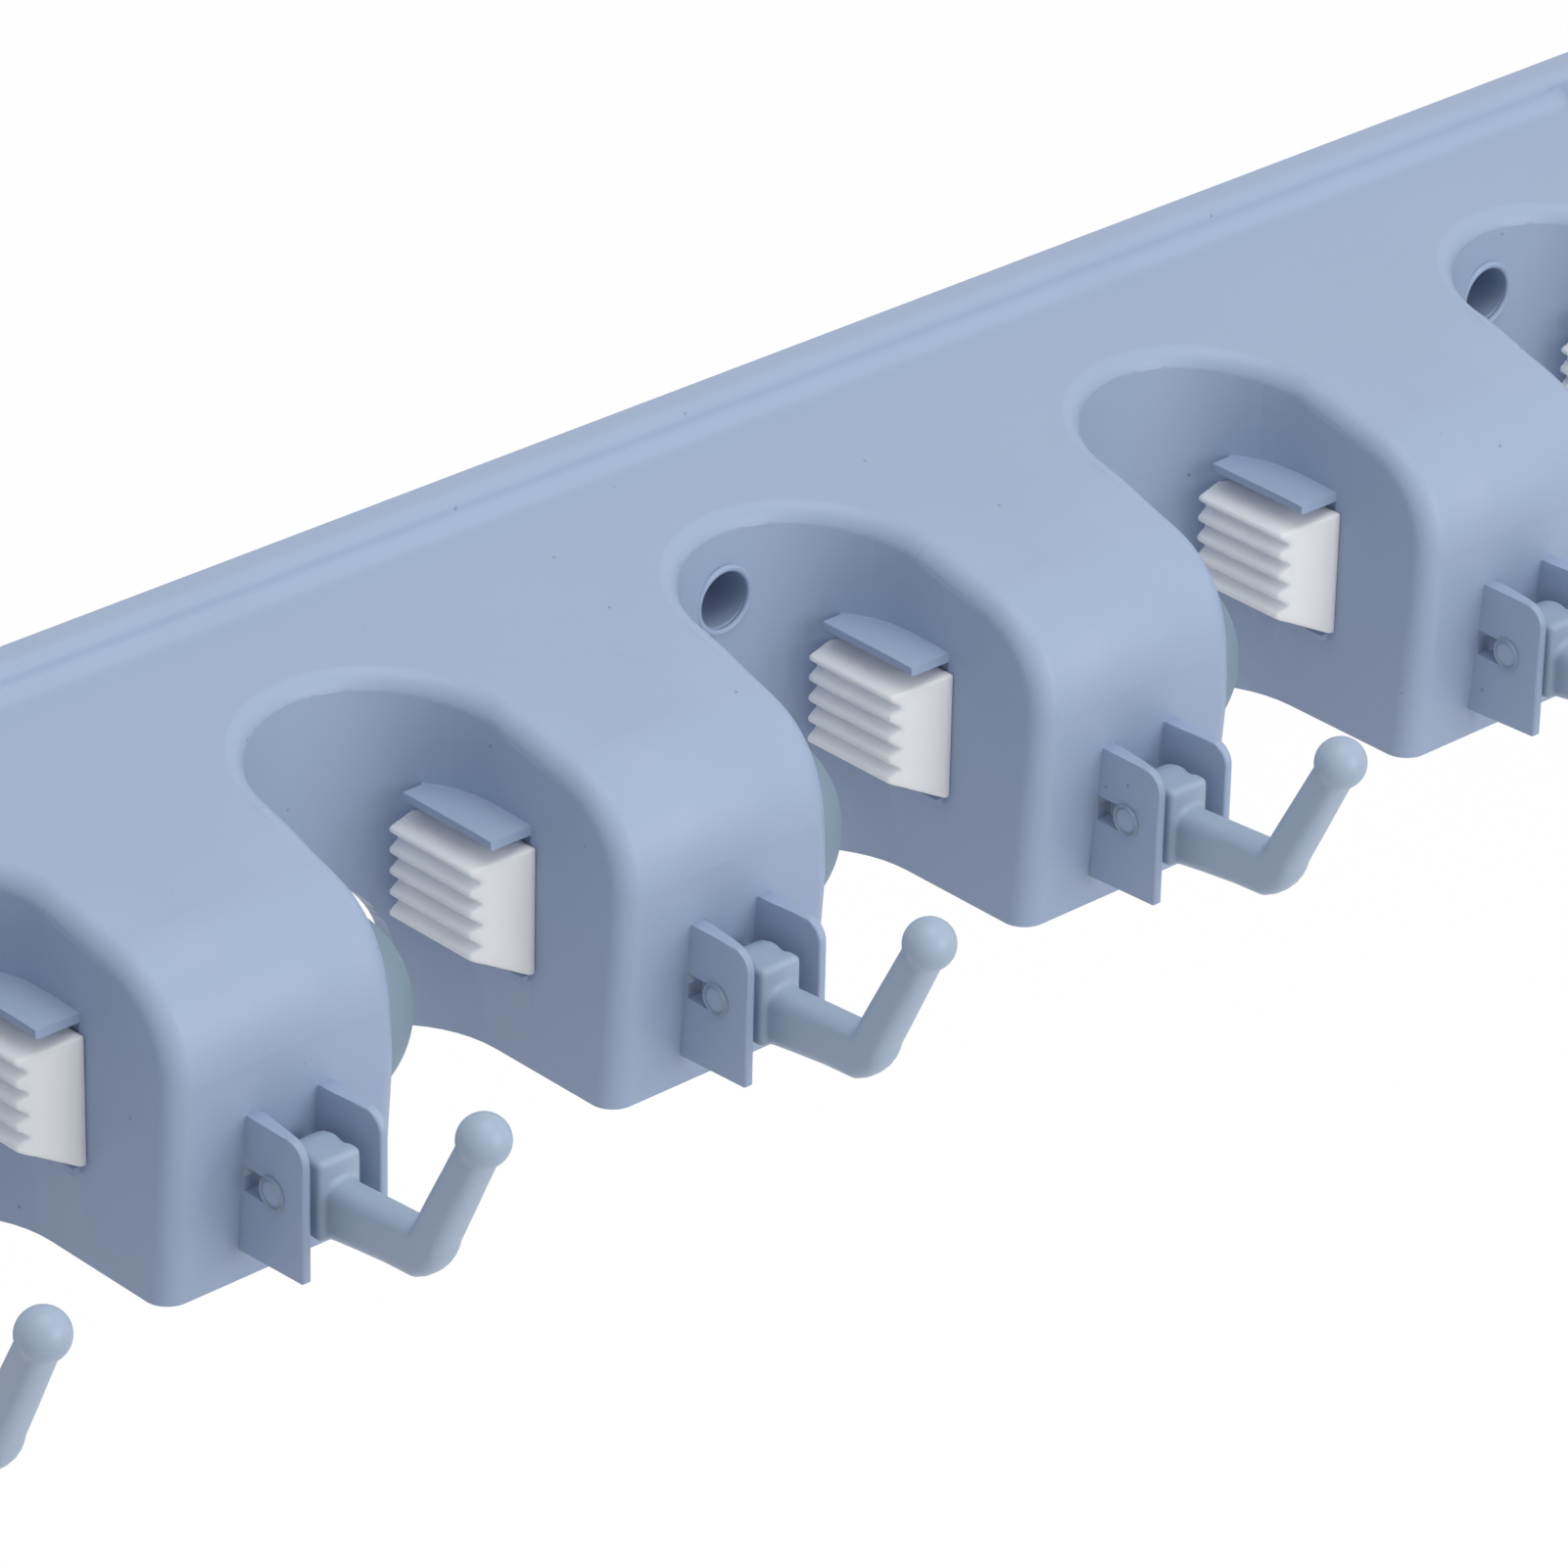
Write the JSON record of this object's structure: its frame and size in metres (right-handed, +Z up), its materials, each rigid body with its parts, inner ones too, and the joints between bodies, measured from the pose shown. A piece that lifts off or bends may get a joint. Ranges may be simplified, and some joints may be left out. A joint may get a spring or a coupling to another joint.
{
  "type": "wall mop and broom holder rack",
  "caption": "Moulded wall rack with open-front handle slots, each gripped between a ribbed pad and a rolling ball, and a folding hook on the front of every tower.",
  "frame": {"origin": "on the wall plane at the middle wall screw, halfway along the rack", "axes": "+X along the rack, -Y away from the wall towards the user, +Z up"},
  "size_m": [0.403, 0.1091, 0.06],
  "materials": {
    "body_plastic": "fine moulded texture, satin",
    "hook_plastic": "fine moulded texture, satin",
    "pad_rubber": "matt white rubber",
    "ball_rubber": "matt soft rubber",
    "guide_plastic": "plain moulded",
    "screw_steel": "zinc plated"
  },
  "bodies": {
    "rack": {"rack_shell": "body_plastic", "grip_pad_1": "pad_rubber", "grip_pad_2": "pad_rubber", "grip_pad_3": "pad_rubber", "grip_pad_4": "pad_rubber", "grip_pad_5": "pad_rubber", "ball_guide_1": "guide_plastic", "ball_guide_2": "guide_plastic", "ball_guide_3": "guide_plastic", "ball_guide_4": "guide_plastic", "ball_guide_5": "guide_plastic", "guide_screws": "screw_steel"},
    "hook_1": {"hook_1": "hook_plastic"},
    "hook_2": {"hook_2": "hook_plastic"},
    "hook_3": {"hook_3": "hook_plastic"},
    "hook_4": {"hook_4": "hook_plastic"},
    "hook_5": {"hook_5": "hook_plastic"},
    "hook_6": {"hook_6": "hook_plastic"},
    "ball_1": {"grip_ball_1": "ball_rubber"},
    "ball_2": {"grip_ball_2": "ball_rubber"},
    "ball_3": {"grip_ball_3": "ball_rubber"},
    "ball_4": {"grip_ball_4": "ball_rubber"},
    "ball_5": {"grip_ball_5": "ball_rubber"}
  },
  "joints": [
    {"name": "hook_1_fold", "type": "hinge", "parent": "rack", "child": "hook_1", "pos_m": [-0.181, -0.0721, -0.0249], "axis": [-1, 0, 0], "range_deg": [0, 60]},
    {"name": "hook_2_fold", "type": "hinge", "parent": "rack", "child": "hook_2", "pos_m": [-0.1125, -0.0721, -0.0249], "axis": [-1, 0, 0], "range_deg": [0, 60]},
    {"name": "hook_3_fold", "type": "hinge", "parent": "rack", "child": "hook_3", "pos_m": [-0.0375, -0.0721, -0.0249], "axis": [-1, 0, 0], "range_deg": [0, 60]},
    {"name": "hook_4_fold", "type": "hinge", "parent": "rack", "child": "hook_4", "pos_m": [0.0375, -0.0721, -0.0249], "axis": [-1, 0, 0], "range_deg": [0, 60]},
    {"name": "hook_5_fold", "type": "hinge", "parent": "rack", "child": "hook_5", "pos_m": [0.1125, -0.0721, -0.0249], "axis": [-1, 0, 0], "range_deg": [0, 60]},
    {"name": "hook_6_fold", "type": "hinge", "parent": "rack", "child": "hook_6", "pos_m": [0.181, -0.0721, -0.0249], "axis": [-1, 0, 0], "range_deg": [0, 60]},
    {"name": "ball_1_track", "type": "slide", "parent": "rack", "child": "ball_1", "axis": [-0.6157, 0, 0.788], "range_m": [0, 0.009]},
    {"name": "ball_2_track", "type": "slide", "parent": "rack", "child": "ball_2", "axis": [-0.6157, 0, 0.788], "range_m": [0, 0.009]},
    {"name": "ball_3_track", "type": "slide", "parent": "rack", "child": "ball_3", "axis": [-0.6157, 0, 0.788], "range_m": [0, 0.009]},
    {"name": "ball_4_track", "type": "slide", "parent": "rack", "child": "ball_4", "axis": [-0.6157, 0, 0.788], "range_m": [0, 0.009]},
    {"name": "ball_5_track", "type": "slide", "parent": "rack", "child": "ball_5", "axis": [-0.6157, 0, 0.788], "range_m": [0, 0.009]}
  ]
}
